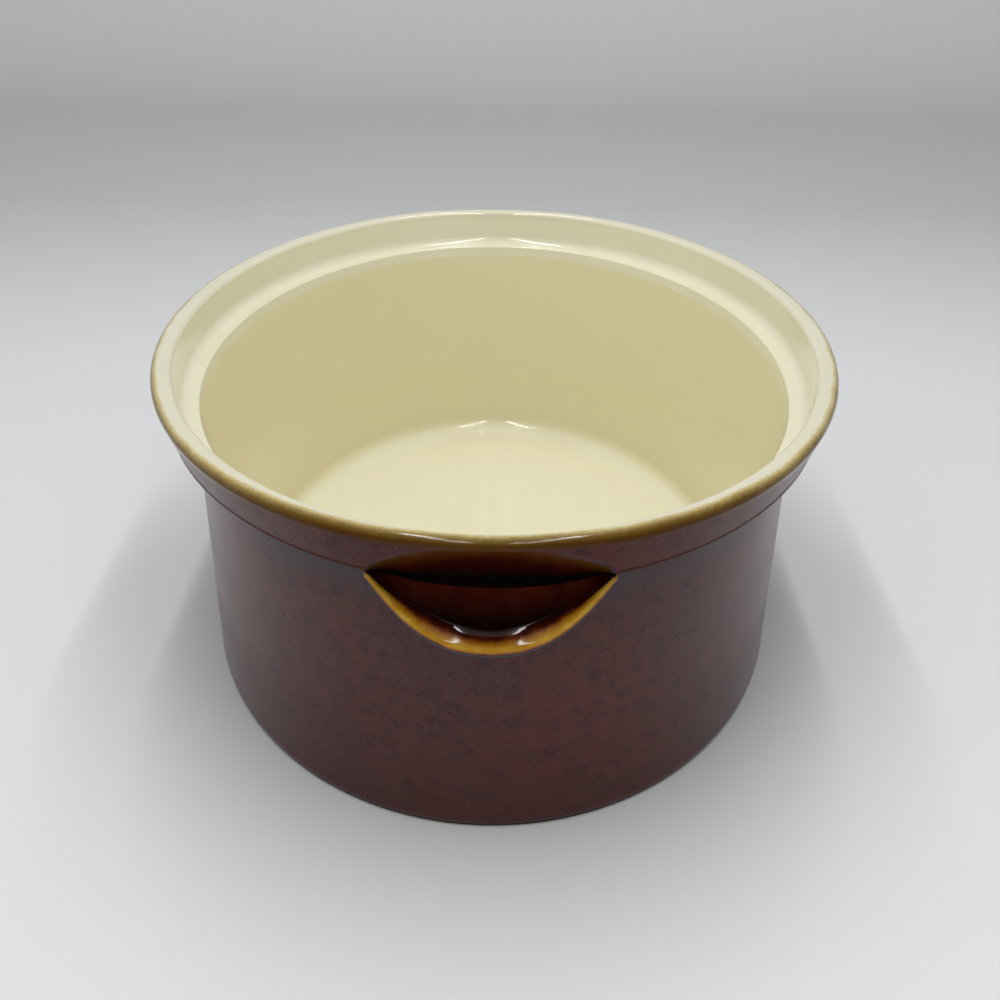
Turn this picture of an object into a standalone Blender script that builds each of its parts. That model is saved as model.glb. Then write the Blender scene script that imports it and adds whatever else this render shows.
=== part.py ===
"""Oval stoneware casserole dish without its lid, with a pocket handle at each end.

The dish is modelled as the clay pieces that are luted together before firing: a floor
slab on a foot ring, a side wall with a coved foot, a rim collar with the ledge that
seats a lid, and a pocket handle under the collar at each end of the oval.
The origin is on the table under the middle of the dish, +Z is up and the long axis is Y.
Every horizontal outline is the rim's oval drawn in by an inset, so a section of the dish
is a list of (inset, height) points. All sizes are in metres.
"""

import math

import bmesh
import bpy

# Overall sizes of the dish, measured over the rim
RIM_HALF_WIDTH = 0.106
RIM_HALF_LENGTH = 0.141
RIM_HEIGHT = 0.0952

# Rim collar and the ledge that a lid rests on
RIM_THICKNESS = 0.0060
RIM_ROUND = 0.0022
COLLAR_DROP = 0.0126
COLLAR_TAPER = 0.0043
COLLAR_EDGE_ROUND = 0.0012
COLLAR_FACE_STEP = 0.0010
GALLERY_TAPER = 0.0016
GALLERY_FILLET = 0.0028
LEDGE_DROP = 0.0124
LEDGE_INSET = 0.0127
LEDGE_EDGE_ROUND = 0.0009
COLLAR_SEAT_DEPTH = 0.0036
SHOULDER_STEP = 0.0006

# Side wall, which leans in to its foot, with a neck under the ledge and a cove on the floor
WALL_INSET = 0.0117
WALL_LEAN = 0.0013
WALL_THICKNESS = 0.0049
WALL_DRAFT = 0.0024
NECK_TOP_STEP = 0.0016
NECK_BEND_STEP = 0.0016
NECK_BEND_DEPTH = 0.0038
NECK_DEPTH = 0.0110
COVE_RADIUS = 0.0260
COVE_TOE = 0.0005

# Floor slab and foot ring
SLAB_THICKNESS = 0.0055
SLAB_EDGE_ROUND = 0.0006
FOOT_HEIGHT = 0.0010
FOOT_WIDTH = 0.0070
FOOT_STEP_IN = 0.0006
FOOT_EDGE_ROUND = 0.0003

# Mouth of the pocket handle: a scoop cut into the collar above a lip that hangs under it
MOUTH_HALF_WIDTH = 0.0294
SCOOP_RISE = 0.0102
SCOOP_DEPTH = 0.0032
SCOOP_MARGIN = 0.0002
LIP_DROP = 0.0299
LIP_CORNER_DROP = 0.0153
LIP_INSET = 0.0027
LIP_CORNER_INSET = 0.0056
LIP_THICKNESS = 0.0022
LIP_UNDERCUT = 0.0004
POCKET_SLOT = 0.0027
POCKET_EDGE_THICKNESS = 0.0008
POCKET_SAG = 0.0014
HANDLE_ROOT_DEPTH = 0.0080
HANDLE_CORNER_ROOT_DEPTH = 0.0032

# Luted faces are drawn apart by the width of the slip between them
SLIP_GAP = 0.0003

# Fineness of the facets, and the turns of the rounds in degrees
OVAL_STEPS = 96
END_CROWDING = 0.25
ROUND_STEPS = 3
COVE_STEPS = 6
HANDLE_STEPS = 24
POCKET_STEPS = 5
LIP_START_DEGREES = 75.0
SHARP_DEGREES = 35.0

# Heights and insets that follow from the sizes above
SHOULDER_HEIGHT = RIM_HEIGHT - RIM_ROUND
LEDGE_HEIGHT = RIM_HEIGHT - LEDGE_DROP
COLLAR_EDGE_HEIGHT = RIM_HEIGHT - COLLAR_DROP
COLLAR_SEAT_HEIGHT = LEDGE_HEIGHT - COLLAR_SEAT_DEPTH
WALL_TOP = COLLAR_SEAT_HEIGHT - SLIP_GAP
SLAB_BOTTOM = FOOT_HEIGHT + SLIP_GAP
FLOOR_HEIGHT = SLAB_BOTTOM + SLAB_THICKNESS
WALL_BOTTOM = FLOOR_HEIGHT + SLIP_GAP
WALL_FOOT_INSET = WALL_INSET + WALL_LEAN
WALL_INNER_INSET = WALL_INSET + WALL_THICKNESS
NECK_TOP_INSET = LEDGE_INSET + NECK_TOP_STEP
POCKET_BACK_TOP = COLLAR_SEAT_HEIGHT - POCKET_SLOT

BROWN_GLAZE = ("brown_glaze", (0.055, 0.030, 0.028), 0.22)
CREAM_GLAZE = ("cream_glaze", (0.72, 0.65, 0.45), 0.20)
BARE_STONEWARE = ("bare_stoneware", (0.48, 0.44, 0.38), 0.75)


def clear_scene():
    """Remove every object that the file starts with."""
    for item in list(bpy.data.objects):
        bpy.data.objects.remove(item, do_unlink=True)


def glaze_material(finish):
    """A Principled material from a (name, colour, roughness) finish, made once."""
    name, colour, roughness = finish
    material = bpy.data.materials.get(name) or bpy.data.materials.new(name)
    material.use_nodes = True
    shader = material.node_tree.nodes["Principled BSDF"]
    shader.inputs["Base Color"].default_value = (*colour, 1.0)
    shader.inputs["Roughness"].default_value = roughness
    shader.inputs["Metallic"].default_value = 0.0
    return material


def between(start, end, share):
    """The value at a share of the way from start to end."""
    return start + (end - start) * share


def on_oval(angle, inset, height):
    """A point on the rim's oval, drawn in by inset, at a height."""
    x = (RIM_HALF_WIDTH - inset) * math.cos(angle)
    y = (RIM_HALF_LENGTH - inset) * math.sin(angle)
    return x, y, height


def oval_angles():
    """Angles round the oval, crowded at the two ends where the handles are."""
    turns = [2.0 * math.pi * step / OVAL_STEPS for step in range(OVAL_STEPS)]
    return [turn + END_CROWDING * math.sin(2.0 * turn) for turn in turns]


def arc(centre, radius, start_degrees, end_degrees, steps):
    """Points of an arc in the (inset, height) plane, both ends included."""
    points = []
    for step in range(steps + 1):
        turn = math.radians(between(start_degrees, end_degrees, step / steps))
        points.append((centre[0] + radius * math.cos(turn), centre[1] + radius * math.sin(turn)))
    return points


def mouth_share(angle):
    """1 in the middle of a mouth, falling to 0 at its corners and along the sides."""
    across = (RIM_HALF_WIDTH - COLLAR_TAPER) * math.cos(angle) / MOUTH_HALF_WIDTH
    return max(0.0, 1.0 - across * across)


def face_inset(height):
    """Inset of the collar's leaning outer face at a height."""
    return COLLAR_TAPER * (SHOULDER_HEIGHT - height) / (SHOULDER_HEIGHT - COLLAR_EDGE_HEIGHT)


def wall_inset(height):
    """Inset of the side wall's leaning outer face at a height."""
    return WALL_INSET + WALL_LEAN * (WALL_TOP - height) / (WALL_TOP - WALL_BOTTOM)


def new_part(name, bm, finish):
    """Put a finished bmesh into the scene as a named, smoothly shaded object."""
    bmesh.ops.recalc_face_normals(bm, faces=bm.faces)
    mesh = bpy.data.meshes.new(name)
    bm.to_mesh(mesh)
    bm.free()
    mesh.shade_smooth()
    mesh.set_sharp_from_angle(angle=math.radians(SHARP_DEGREES))
    mesh.materials.append(glaze_material(finish))
    part = bpy.data.objects.new(name, mesh)
    bpy.context.scene.collection.objects.link(part)
    return part


def sweep(bm, angles, section, closed):
    """Carry a closed section round the oval, joining up or capped at both ends."""
    rings = []
    for angle in angles:
        rings.append([bm.verts.new(on_oval(angle, *point)) for point in section(angle)])
    following = rings[1:] + rings[:1] if closed else rings[1:]
    for ring, next_ring in zip(rings, following):
        for index in range(len(ring)):
            after = (index + 1) % len(ring)
            bm.faces.new((ring[index], ring[after], next_ring[after], next_ring[index]))
    if not closed:
        bm.faces.new(rings[0])
        bm.faces.new(rings[-1])


def collar_section(angle):
    """Section of the rim collar, cut back under an arch above a mouth."""
    reach = math.sqrt(mouth_share(angle))
    depth = SCOOP_DEPTH * reach
    rise = max(COLLAR_FACE_STEP, SCOOP_RISE * reach)
    arch_height = min(COLLAR_EDGE_HEIGHT + rise, SHOULDER_HEIGHT - SCOOP_MARGIN)
    edge_inset = COLLAR_TAPER + depth
    shoulder_inset = WALL_INSET - SHOULDER_STEP
    gallery_foot = RIM_THICKNESS + GALLERY_TAPER

    points = [(shoulder_inset, COLLAR_SEAT_HEIGHT), (shoulder_inset, COLLAR_SEAT_HEIGHT + SHOULDER_STEP)]
    points.append((edge_inset + COLLAR_EDGE_ROUND, COLLAR_EDGE_HEIGHT - COLLAR_EDGE_ROUND))
    points.append((edge_inset, COLLAR_EDGE_HEIGHT))
    points.append((face_inset(arch_height), arch_height))
    points += arc((RIM_ROUND, SHOULDER_HEIGHT), RIM_ROUND, 180.0, 90.0, ROUND_STEPS)
    points += arc((RIM_THICKNESS - RIM_ROUND, SHOULDER_HEIGHT), RIM_ROUND, 90.0, 0.0, ROUND_STEPS)
    fillet_centre = (gallery_foot + GALLERY_FILLET, LEDGE_HEIGHT + GALLERY_FILLET)
    points += arc(fillet_centre, GALLERY_FILLET, 180.0, 270.0, ROUND_STEPS)
    edge_centre = (LEDGE_INSET - LEDGE_EDGE_ROUND, LEDGE_HEIGHT - LEDGE_EDGE_ROUND)
    points += arc(edge_centre, LEDGE_EDGE_ROUND, 90.0, 0.0, ROUND_STEPS)
    points.append((NECK_TOP_INSET, COLLAR_SEAT_HEIGHT))
    return points


def wall_section(angle):
    """Section of the side wall, the same all round: neck and draft inside, a cove at its foot."""
    cove_centre = (WALL_INNER_INSET + WALL_DRAFT + COVE_RADIUS, FLOOR_HEIGHT + COVE_RADIUS)
    toe_degrees = 270.0 - math.degrees(math.acos(1.0 - (SLIP_GAP + COVE_TOE) / COVE_RADIUS))
    points = [(WALL_FOOT_INSET, WALL_BOTTOM), (WALL_INSET, WALL_TOP), (NECK_TOP_INSET, WALL_TOP)]
    points.append((NECK_TOP_INSET + NECK_BEND_STEP, WALL_TOP - NECK_BEND_DEPTH))
    points.append((WALL_INNER_INSET, WALL_TOP - NECK_DEPTH))
    points += arc(cove_centre, COVE_RADIUS, 180.0, toe_degrees, COVE_STEPS)
    points.append((points[-1][0], WALL_BOTTOM))
    return points


def foot_section(angle):
    """Section of the foot ring, the same all round: a low bar with softened lower corners."""
    outer = WALL_FOOT_INSET + FOOT_STEP_IN
    inner = outer + FOOT_WIDTH
    return [
        (outer + FOOT_EDGE_ROUND, 0.0),
        (outer, FOOT_EDGE_ROUND),
        (outer, FOOT_HEIGHT),
        (inner, FOOT_HEIGHT),
        (inner, FOOT_EDGE_ROUND),
        (inner - FOOT_EDGE_ROUND, 0.0),
    ]


def hollow(start, end, sag):
    """Points from start to end, both included, sunk by sag in the middle below the straight line."""
    inset_step = end[0] - start[0]
    height_step = end[1] - start[1]
    length = math.hypot(inset_step, height_step)
    points = []
    for step in range(POCKET_STEPS + 1):
        share = step / POCKET_STEPS
        sunk = sag * 4.0 * share * (1.0 - share) / length
        inset = start[0] + inset_step * share - height_step * sunk
        height = start[1] + height_step * share + inset_step * sunk
        points.append((inset, height))
    return points


def handle_section(angle):
    """Section of a pocket handle: feather edge on the wall, hollow pocket, lip and root on the wall."""
    share = mouth_share(angle)
    lip_height = RIM_HEIGHT - between(LIP_CORNER_DROP, LIP_DROP, share)
    lip_inset = between(LIP_CORNER_INSET, LIP_INSET, share)
    root_depth = between(HANDLE_CORNER_ROOT_DEPTH, HANDLE_ROOT_DEPTH, share)
    root_height = min(lip_height, POCKET_BACK_TOP) - root_depth
    root_inset = wall_inset(root_height) - SLIP_GAP
    top_inset = wall_inset(POCKET_BACK_TOP) - SLIP_GAP
    lip_round = LIP_THICKNESS / 2.0
    lip_centre = (lip_inset + lip_round, lip_height - lip_round)
    lip = arc(lip_centre, lip_round, LIP_START_DEGREES, 180.0, ROUND_STEPS)

    points = [(root_inset, root_height), (top_inset, POCKET_BACK_TOP)]
    points += hollow((top_inset - POCKET_EDGE_THICKNESS, POCKET_BACK_TOP), lip[0], POCKET_SAG * share)
    points += lip[1:]
    points.append((lip_inset + LIP_UNDERCUT, lip_height - LIP_THICKNESS))
    return points


def build_ring(name, section, finish):
    """A piece that runs all the way round the oval."""
    bm = bmesh.new()
    sweep(bm, oval_angles(), section, closed=True)
    return new_part(name, bm, finish)


def build_floor_slab():
    """The oval floor, a plate with a rounded lower edge."""
    bm = bmesh.new()
    edge_centre = (WALL_FOOT_INSET + SLAB_EDGE_ROUND, SLAB_BOTTOM + SLAB_EDGE_ROUND)
    outline = arc(edge_centre, SLAB_EDGE_ROUND, 270.0, 180.0, ROUND_STEPS)
    outline.append((WALL_FOOT_INSET, FLOOR_HEIGHT))
    loops = []
    for inset, height in outline:
        loops.append([bm.verts.new(on_oval(angle, inset, height)) for angle in oval_angles()])
    for loop, next_loop in zip(loops, loops[1:]):
        for index in range(OVAL_STEPS):
            after = (index + 1) % OVAL_STEPS
            bm.faces.new((loop[index], loop[after], next_loop[after], next_loop[index]))
    bm.faces.new(loops[0])
    bm.faces.new(loops[-1])
    return new_part("floor_slab", bm, CREAM_GLAZE)


def build_handle(name, end_degrees):
    """A pocket handle luted to the wall under the collar at one end of the oval."""
    half_span = math.asin(MOUTH_HALF_WIDTH / (RIM_HALF_WIDTH - COLLAR_TAPER))
    angles = []
    for step in range(HANDLE_STEPS + 1):
        angles.append(math.radians(end_degrees) + between(-half_span, half_span, step / HANDLE_STEPS))
    bm = bmesh.new()
    sweep(bm, angles, handle_section, closed=False)
    return new_part(name, bm, BROWN_GLAZE)


def build_dish():
    """Build every clay piece of the dish in its place."""
    clear_scene()
    build_ring("foot_ring", foot_section, BARE_STONEWARE)
    build_floor_slab()
    build_ring("side_wall", wall_section, BROWN_GLAZE)
    build_ring("rim_collar", collar_section, BROWN_GLAZE)
    build_handle("front_pocket_handle", 270.0)
    build_handle("back_pocket_handle", 90.0)


build_dish()
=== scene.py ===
"""Looks of the oval casserole dish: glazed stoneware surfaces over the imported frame.

A point of the dish is (angle, inset, height): the rim's oval drawn in by the inset, so that
x = (half width - inset) cos(angle), y = (half length - inset) sin(angle), z = height.
Sections are written in millimetres as corners (inset, height, radius of the round).
"""

import math

import bpy
import numpy as np
from mathutils import Matrix, Vector


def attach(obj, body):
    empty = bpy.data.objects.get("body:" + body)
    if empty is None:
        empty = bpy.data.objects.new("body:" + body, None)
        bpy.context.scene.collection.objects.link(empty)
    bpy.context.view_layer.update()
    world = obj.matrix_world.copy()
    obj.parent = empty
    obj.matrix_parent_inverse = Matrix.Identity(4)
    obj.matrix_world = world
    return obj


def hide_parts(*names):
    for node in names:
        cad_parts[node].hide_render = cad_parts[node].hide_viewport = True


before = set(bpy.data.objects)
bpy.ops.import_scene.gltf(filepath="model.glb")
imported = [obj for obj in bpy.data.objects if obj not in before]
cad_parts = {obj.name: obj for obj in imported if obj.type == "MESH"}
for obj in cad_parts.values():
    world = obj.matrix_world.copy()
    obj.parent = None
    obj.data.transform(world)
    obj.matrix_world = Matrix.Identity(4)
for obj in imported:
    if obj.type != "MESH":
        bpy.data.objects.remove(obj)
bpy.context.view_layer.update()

MM = 0.001

# Oval of the rim, in millimetres like all lengths of the dish
RIM_HALF_WIDTH = 106.0
RIM_HALF_LENGTH = 141.0
HAND_WOBBLE = 0.05
WOBBLE_FULL_INSET = 3.0

# Rim collar: rim, outer face, underside, and the gallery and ledge inside
RIM_TOP = 95.2
RIM_WIDTH = 6.0
RIM_OUTER_ROUND = 2.3
RIM_INNER_ROUND = 1.9
SHOULDER_HEIGHT = 93.0
SHOULDER_ROUND = 1.3
COLLAR_FACE_LEAN = 0.4135
COLLAR_EDGE_INSET = 4.7
COLLAR_EDGE_HEIGHT = 81.63
COLLAR_EDGE_ROUND = 0.8
EDGE_BEAD = 0.6
UNDERSIDE_SLOPE = 0.2857
UNDERSIDE_ROUND = 0.5
GALLERY_INSET = 7.6
GALLERY_ROUND = 3.8
LEDGE_HEIGHT = 82.8
LEDGE_INSET = 13.2
LEDGE_ROUND = 0.8
CREAM_BREAK = 2.0

# Side wall, from the seam under the collar to the floor
SEAM_HEIGHT = 79.05
SEAM_INNER_INSET = 13.9
SEAM_ROUND = 0.002
WALL_INSET = 11.7
WALL_LEAN = 0.018
WALL_ROW_HEIGHTS = (23.0, 40.0, 66.0, 75.8, 77.3)
WALL_ROW_ROUND = 60.0
COVE_INSET = 25.6
COVE_HEIGHT = 8.6
COVE_ROUND = 5.0
RUN_OUT_INSET = 33.0
RUN_OUT_ROUND = 30.0
TOE_INSET = 46.0
TOE_ROUND = 0.02
INNER_SIDE_INSET = 14.0

# Floor slab and foot ring
FLOOR_HEIGHT = 6.8
SLAB_TOP = 6.4
SLAB_MIDDLE = 3.5
GLAZE_FOOT = 0.95
GLAZE_ROLL = ((0.9, 0.0), (0.64, 0.06), (0.34, 0.26), (0.12, 0.58), (0.0, 1.2))
UNDERSIDE_INSET = 8.0
POLE_SHARES = (0.08, 0.3, 0.6, 0.85)
FOOT_INSET = 13.8
FOOT_WIDTH = 7.0
FOOT_OVERLAP = 0.1
FOOT_TOP_ROUND = 0.1
FOOT_OUTER_ROUND = 0.4
FOOT_INNER_ROUND = 0.5

# Scoop in the collar over a mouth
MOUTH_HALF_WIDTH = 29.9
SCOOP_RISE = 11.7
SCOOP_DEPTH = 3.2
SCOOP_EDGE_LIFT = 0.5
LEAST_ARCH = 1.1
ARCH_ROUND = 0.3
SHOULDER_OVER_ARCH = 0.2
SCOOP_FADE = 3.0
FACE_PRESS = 1.2

# Pocket handle under a mouth: back, crease, fold, bowl, lip and root
BACK_INSET = 11.55
BACK_HEIGHT = 80.3
BACK_LEAN = 0.30
BURIED_DEPTH = 0.9
BURIED_DROP = 2.0
BURIED_ROUND = 0.2
CREASE_INSET = 10.45
CREASE_CORNER_SHIFT = 0.15
CREASE_HEIGHT = 77.0
CREASE_CORNER_HEIGHT = 77.9
CREASE_ROUND = 25.0
FOLD_HEIGHT = 68.1
FOLD_CORNER_HEIGHT = 76.1
FOLD_CORNER_ROUND = 0.4
FOLD_ROUND_GAIN = 2.4
BASE_INSET = 6.6
BASE_HEIGHT = 66.7
BASE_CORNER_HEIGHT = 79.5
BASE_CORNER_ROUND = 0.6
BASE_ROUND_GAIN = 9.0
LIP_INSET = 2.7
LIP_CORNER_INSET = 5.2
LIP_HEIGHT = 64.6
LIP_CORNER_HEIGHT = 81.0
LIP_POWER = 2.4
LIP_TUCK = 0.3
LIP_THICKNESS = 2.6
LIP_TOP_ROUND = 1.5
LIP_UNDER_ROUND = 2.4
ROOT_DROP = 3.2
ROOT_MIDDLE_DROP = 2.6
ROOT_ROUND = 3.0

# How far the handle moves into the wall where it runs out past the corners of the mouth
LUG_BLEND = 4.5
LIP_RUN_OUT = 7.0
BASE_RUN_OUT = 5.0
BACK_RUN_OUT = 1.2
ROOT_RUN_OUT = 3.8

# Fineness of the grids
ROUND_STEPS = 12
MOUTH_STEPS = 72
SIDE_STEPS = 96
SIDE_EASE = 0.13
LUG_BLEND_STEPS = 14
ROUND_ROOM = 0.96
STRAIGHT_COSINE = 0.9999
GUARD_REACH = 0.4
GUARD_SHARE = 0.3
SHARP_ANGLE = math.radians(40.0)

# Colours of the glazes and the clay, as single colours or as stops of a ramp
CREAM = ((0.30, (0.790, 0.752, 0.560)), (0.70, (0.825, 0.790, 0.600)))
# Pooled cream, yellower and darker: glaze pooled low on the inner wall, and painted shade where the wall
# turns into the floor
CREAM_POOL_AND_SHADE = (0.785, 0.725, 0.480)
IRON_SPECK = (0.30, 0.20, 0.09)
RUBBED_CREAM = (0.600, 0.560, 0.440)
HONEY = (
    (0.18, (0.700, 0.630, 0.380)),
    (0.30, (0.530, 0.420, 0.165)),
    (0.40, (0.300, 0.200, 0.048)),
    (0.52, (0.150, 0.084, 0.011)),
    (0.68, (0.086, 0.036, 0.006)),
)
DEEP_RED = ((0.35, (0.034, 0.0030, 0.0010)), (0.65, (0.060, 0.0070, 0.0022)))
# Nearly black: pooled glaze, and painted shade in the recesses of the scoop and the handle
DEEP_POOL_AND_SHADE = (0.003, 0.0006, 0.0005)
FILM = ((0.30, (0.060, 0.020, 0.021)), (0.50, (0.077, 0.019, 0.017)), (0.70, (0.086, 0.018, 0.014)))
FILM_MOTTLE = (0.038, 0.010, 0.012)
FILM_GRAIN = (0.115, 0.038, 0.034)
# Grey-blue film where the glaze pools, also a painted reflection on the outer face of a handle's lip
FILM_POOL_AND_SHEEN = (0.042, 0.036, 0.044)
AMBER = (
    (0.10, (0.040, 0.005, 0.001)),
    (0.35, (0.150, 0.032, 0.003)),
    (0.60, (0.360, 0.140, 0.009)),
    (0.85, (0.500, 0.250, 0.016)),
    (1.00, (0.600, 0.360, 0.050)),
)
CLAY = ((0.30, (0.34, 0.29, 0.22)), (0.70, (0.56, 0.50, 0.41)))
CLAY_CLOUD = (0.40, 0.32, 0.23)
# Painted shadow: near black on the foot ring's outer side, standing for the contact shadow at the base
FOOT_PAINTED_SHADOW = (0.035, 0.018, 0.015)

# Scales of the patterns, in waves or cells per metre
CREAM_CLOUD_WAVES = 26.0
CREAM_STREAK_WAVES = 140.0
CREAM_RIPPLE_WAVES = 55.0
SPECK_CELLS = 420.0
SPECK_CHANCE_WAVES = 60.0
BROWN_CLOUD_WAVES = 22.0
BROWN_MOTTLE_WAVES = 210.0
BROWN_GRAIN_WAVES = 1500.0
BROWN_RIPPLE_WAVES = 60.0
CLAY_SAND_WAVES = 900.0
CLAY_CLOUD_WAVES = 40.0
BREAK_WANDER_WAVES = 75.0
BREAK_FRAY_WAVES = 900.0

# Spans of the pattern values over which a colour comes in, and weights of the patterns
SPECK_SPAN = (0.44, 0.36)
SPECK_STRENGTH = 0.45
SPECK_PIT = -0.10
CREAM_ROUGHNESS = 0.07
STREAK_ROUGHNESS = 0.08
MOTTLE_SPAN = (0.42, 0.72)
GRAIN_SPAN = (0.54, 0.78)
FILM_POOL_SPAN = (0.80, 0.42)
AMBER_SPAN = (0.08, 0.42)
AMBER_MOTTLE = 0.7
DEEP_ROUGHNESS = 0.06
FILM_ROUGHNESS = 0.16
MOTTLE_ROUGHNESS = 0.05
MOTTLE_RELIEF = 0.04
CLAY_CLOUD_STRENGTH = 0.35
CLAY_ROUGHNESS = 0.70
SAND_ROUGHNESS = 0.15

# Where the collar's glazes change, in millimetres past the rim's crest, and how far the break strays
RUBBED_PLACES = (-7.5, -3.5)
RUBBED_STRENGTH = 0.30
HONEY_PLACES = (-1.3, -0.2)
HONEY_RAMP_START = 0.30
HONEY_RAMP_SLOPE = 0.11
COAT_END_PLACES = (0.0, 3.0)
BROWN_PLACES = (3.2, 6.0)
BREAK_WANDER = 1.6
BREAK_FRAY = 1.3
FRONT_BREAK_COSINES = (0.3, 0.8)

# Where the scoop's glaze pools and is painted darker as shade low in the scoop and at its ends, in
# millimetres below its arch, and how the film thins on the collar's edge
SCOOP_POOL_SHADE_PLACES = (3.0, 13.0)
SCOOP_END_POOL_SHADE = 0.9
SCOOP_END_REACH = 2.5
SCOOP_END_PLACES = (0.3, 1.5)
EDGE_THIN = 0.7
EDGE_THIN_WIDTH = 0.6

# Heights on the side wall where its glazes change
# Painted shade: less film towards the foot, so the wall is darker and redder towards the bottom, for the
# shaded table it reflects there
WALL_FOOT_SHADED_HAZE = 0.65
WALL_HAZE_HEIGHTS = (6.0, 40.0)
# Painted shadow under the collar's edge: the film is taken off there, leaving the darker deep red
NECK_PAINTED_SHADOW_HEIGHTS = (76.4, 77.6)
NECK_POOL_HEIGHTS = (66.0, 77.0)
# Pooled cream low on the inner wall, partly painted shade above the floor
COVE_POOL_SHADE_HEIGHTS = (7.2, 9.4)
COVE_POOL_SHADE_END_HEIGHTS = (12.0, 52.0)

# Amber, haze, pools and painted shade of a handle, in millimetres along its section from the lip or the
# crease
AMBER_MIDDLE = 0.86
AMBER_CORNER = 1.06
AMBER_INNER_WIDTH = 2.7
AMBER_OUTER_WIDTH = 1.2
CREASE_AMBER = 0.16
CREASE_AMBER_WIDTH = 0.3
LIP_HAZE_PLACES = (0.6, 1.8)
LIP_POOL_SHEEN_END_PLACES = (4.5, 6.5)
BOWL_POOL_AND_SHADE = 0.95
BOWL_POOL_PAST_CREASE = (1.0, 8.0)
BOWL_POOL_BEFORE_LIP = (3.0, 6.0)
SLOT_SHADOW_END_PLACES = (-0.5, -0.1)

# Gloss of the surfaces, and the depth of their ripple in metres
GLAZE_IOR = 1.52
BROWN_SPECULAR = 0.33
RIM_SPECULAR = 0.12
RIM_COAT = 0.9
RIM_COAT_ROUGHNESS = 0.08
BARE_BROWN_MATT = 0.7
GLAZE_RIPPLE = 0.00012
CLAY_RIPPLE = 0.00010

# Stage in metres: a flat floor, a quarter round and an upright backdrop
SWEEP_HALF_WIDTH = 1.8
SWEEP_FRONT = -1.6
SWEEP_BACK = 0.75
SWEEP_BEND = 0.35
SWEEP_TOP = 1.8
SWEEP_FLOOR_STEPS = 12
SWEEP_BEND_STEPS = 16
SWEEP_CROSS_STEPS = 9
PAPER_ROUGHNESS = 0.6
PAPER_NEAR = -0.4
PAPER_FAR = 1.1
# Grey of the paper along the depth, with painted shade: darker just behind the dish where its shadow falls,
# lighter in front and up the backdrop
PAPER_PAINTED_SHADE = (
    (0.0, (0.87, 0.88, 0.89)),
    (0.2, (0.84, 0.85, 0.86)),
    (0.4, (0.76, 0.77, 0.78)),
    (0.6, (0.58, 0.59, 0.59)),
    (0.8, (0.58, 0.59, 0.58)),
    (1.0, (0.90, 0.91, 0.88)),
)

# Lamps in metres and watts, and the surround with its opening by the direction's x, z and y
TUBE_ASIDE = 0.10
TUBE_HEIGHT = 0.68
TUBE_SIZE = (0.02, 0.9)
TUBE_POWER = 1.38
SURROUND_COLOUR = (0.98, 0.99, 1.0)
SURROUND_LEVEL = 0.53
SURROUND_TILT = -0.08
OPENING_DIM = -0.96
OPENING_SIDES = (0.80, 0.95)
OPENING_TOP = (0.80, 0.93)
OPENING_BACK = (-0.15, 0.05)

# The photograph's camera: place in metres, angles in degrees, lens in millimetres
CAMERA_PLACE = (0.00176, -0.39532, 0.24200)
CAMERA_HEADING = 0.059
CAMERA_DIP = 27.971
CAMERA_ROLL = -0.823
CAMERA_LENS = 46.8
CAMERA_FRAME = 36.0


def smoothstep(value):
    """3 v^2 - 2 v^3 with v held between 0 and 1."""
    v = np.clip(value, 0.0, 1.0)
    return v * v * (3.0 - 2.0 * v)


def rise(value, start, stop):
    """A smooth step of the value from 0 at start to 1 at stop."""
    return smoothstep((value - start) / (stop - start))


def between(first, last, share):
    """The first value where the share is 0, the last where it is 1, and straight between."""
    return first + (last - first) * share


def hand_wobble(angle, height):
    """How far the clay is drawn in by hand, 0 to about 0.2 mm: a sum of slow waves round the oval.

    HAND_WOBBLE times 2 + sin(3t + 0.6) + 0.6 sin(5t + 2.1 + z/40) + 0.4 sin(8t - 0.9 + z/23).
    """
    wave = np.sin(3.0 * angle + 0.6) + 0.6 * np.sin(5.0 * angle + 2.1 + height / 40.0)
    wave = wave + 0.4 * np.sin(8.0 * angle - 0.9 + height / 23.0)
    return HAND_WOBBLE * (2.0 + wave)


def oval(angle, inset, height):
    """Points ((a - inset) cos t, (b - inset) sin t, height) in metres, with the hand wobble."""
    drawn = inset + hand_wobble(angle, height) * rise(inset, 0.0, WOBBLE_FULL_INSET)
    x = (RIM_HALF_WIDTH - drawn) * np.cos(angle)
    y = (RIM_HALF_LENGTH - drawn) * np.sin(angle)
    return MM * np.stack(np.broadcast_arrays(x, y, height), axis=-1)


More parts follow.
